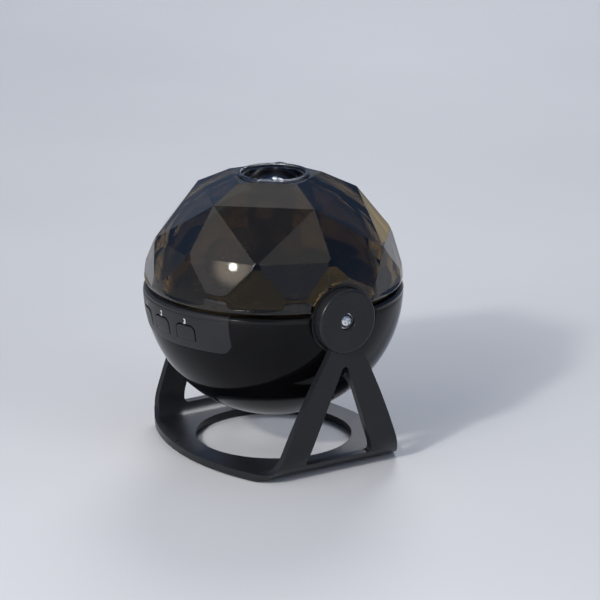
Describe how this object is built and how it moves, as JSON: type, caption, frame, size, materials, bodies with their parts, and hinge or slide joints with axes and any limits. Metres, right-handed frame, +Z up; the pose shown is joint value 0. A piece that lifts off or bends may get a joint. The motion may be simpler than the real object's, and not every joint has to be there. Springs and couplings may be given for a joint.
{
  "type": "star projector",
  "caption": "Ball-shaped star projector with a faceted see-through dome, a lens well and press tabs, tilting on side bosses in an A-legged cradle stand.",
  "frame": {"origin": "middle of the stand's footprint, on the surface that the part stands on", "axes": "+Z up, +X along the ball's tilt axis, -Y towards the control panel"},
  "size_m": [0.1352, 0.1302, 0.1406],
  "materials": {
    "stand": "satin charcoal",
    "pad": "matt",
    "shell": "gloss black",
    "trim": "satin dark grey",
    "dome": "smoked amber, see-through",
    "rim": "clear",
    "inner": "matt black",
    "screw": "bright zinc",
    "brass": "plain",
    "lens": "clear",
    "board": "solder mask",
    "chip": "matt",
    "led": "white",
    "sink": "plain",
    "gear": "off-white",
    "film": "black film",
    "cell": "blue sleeve",
    "lead": "insulated"
  },
  "bodies": {
    "stand": {"stand_frame": "stand", "foot_pads": "pad", "left_pivot_cover": "stand", "right_pivot_cover": "stand", "left_pivot_spacer": "stand", "right_pivot_spacer": "stand", "pivot_washers": "screw"},
    "ball": {"lower_shell": "shell", "trim_bands": "trim", "control_panel": "trim", "faceted_dome": "dome", "well_rim": "rim", "left_hub_cup": "inner", "right_hub_cup": "inner", "hub_cup_screws": "screw", "pivot_inserts": "brass", "pivot_screws": "screw", "friction_washers": "brass", "deck": "inner", "deck_screws": "screw", "lamp_housing": "inner", "lamp_tube": "inner", "optics_screws": "screw", "lens_barrel": "shell", "projection_lens": "lens", "lens_retainer": "inner", "condenser_lens": "lens", "star_led": "led", "star_led_board": "board", "heat_sink": "sink", "heat_sink_screws": "screw", "ambient_board": "inner", "ambient_leds": "led", "film_motor": "screw", "motor_screws": "screw", "main_board": "board", "board_chips": "chip", "board_screws": "screw", "charge_socket": "screw", "battery_holder": "inner", "battery_cell": "cell", "battery_contacts": "screw", "battery_leads": "lead", "button_leads": "lead", "motor_leads": "lead", "button_board": "board", "button_board_screws": "screw", "switch_bodies": "chip"},
    "film_wheel": {"film_carrier": "gear", "star_film": "film", "film_clip": "inner"},
    "pinion": {"motor_pinion": "brass", "motor_shaft": "screw"},
    "left_tab": {"left_press_tab": "trim"},
    "left_key": {"left_plunger": "gear"},
    "middle_tab": {"middle_press_tab": "trim"},
    "middle_key": {"middle_plunger": "gear"},
    "right_tab": {"right_press_tab": "trim"},
    "right_key": {"right_plunger": "gear"}
  },
  "joints": [
    {"name": "ball_tilt", "type": "hinge", "parent": "stand", "child": "ball", "pos_m": [0, 0, 0.0804], "axis": [1, 0, 0], "range_deg": [-90, 90]},
    {"name": "left_press", "type": "hinge", "parent": "ball", "child": "left_tab", "pos_m": [-0.01714, -0.05977, 0.0688], "axis": [-0.9613, 0.2756, 0], "range_deg": [0, 5], "stiffness_Nm_per_rad": 0.08, "springref_deg": -1.72},
    {"name": "left_click", "type": "slide", "parent": "ball", "child": "left_key", "axis": [0, 1, 0], "range_m": [0, 0.00045]},
    {"name": "middle_press", "type": "hinge", "parent": "ball", "child": "middle_tab", "pos_m": [0, -0.06218, 0.0688], "axis": [-1, 0, 0], "range_deg": [0, 5], "stiffness_Nm_per_rad": 0.08, "springref_deg": -1.72},
    {"name": "middle_click", "type": "slide", "parent": "ball", "child": "middle_key", "axis": [0, 1, 0], "range_m": [0, 0.00045]},
    {"name": "right_press", "type": "hinge", "parent": "ball", "child": "right_tab", "pos_m": [0.01714, -0.05977, 0.0688], "axis": [-0.9613, -0.2756, 0], "range_deg": [0, 5], "stiffness_Nm_per_rad": 0.08, "springref_deg": -1.72},
    {"name": "right_click", "type": "slide", "parent": "ball", "child": "right_key", "axis": [0, 1, 0], "range_m": [0, 0.00045]},
    {"name": "film_spin", "type": "hinge", "parent": "ball", "child": "film_wheel", "pos_m": [0, 0, 0.0854], "axis": [0, 0, 1], "continuous": true},
    {"name": "pinion_spin", "type": "hinge", "parent": "ball", "child": "pinion", "pos_m": [0, 0.025, 0.0854], "axis": [0, 0, 1], "continuous": true}
  ],
  "couplings": [
    {"joint": "left_click", "follows": "left_press", "m_per_rad": 0.004422},
    {"joint": "middle_click", "follows": "middle_press", "m_per_rad": 0.0046},
    {"joint": "right_click", "follows": "right_press", "m_per_rad": 0.004422},
    {"joint": "pinion_spin", "follows": "film_spin", "ratio": -3.1667}
  ]
}
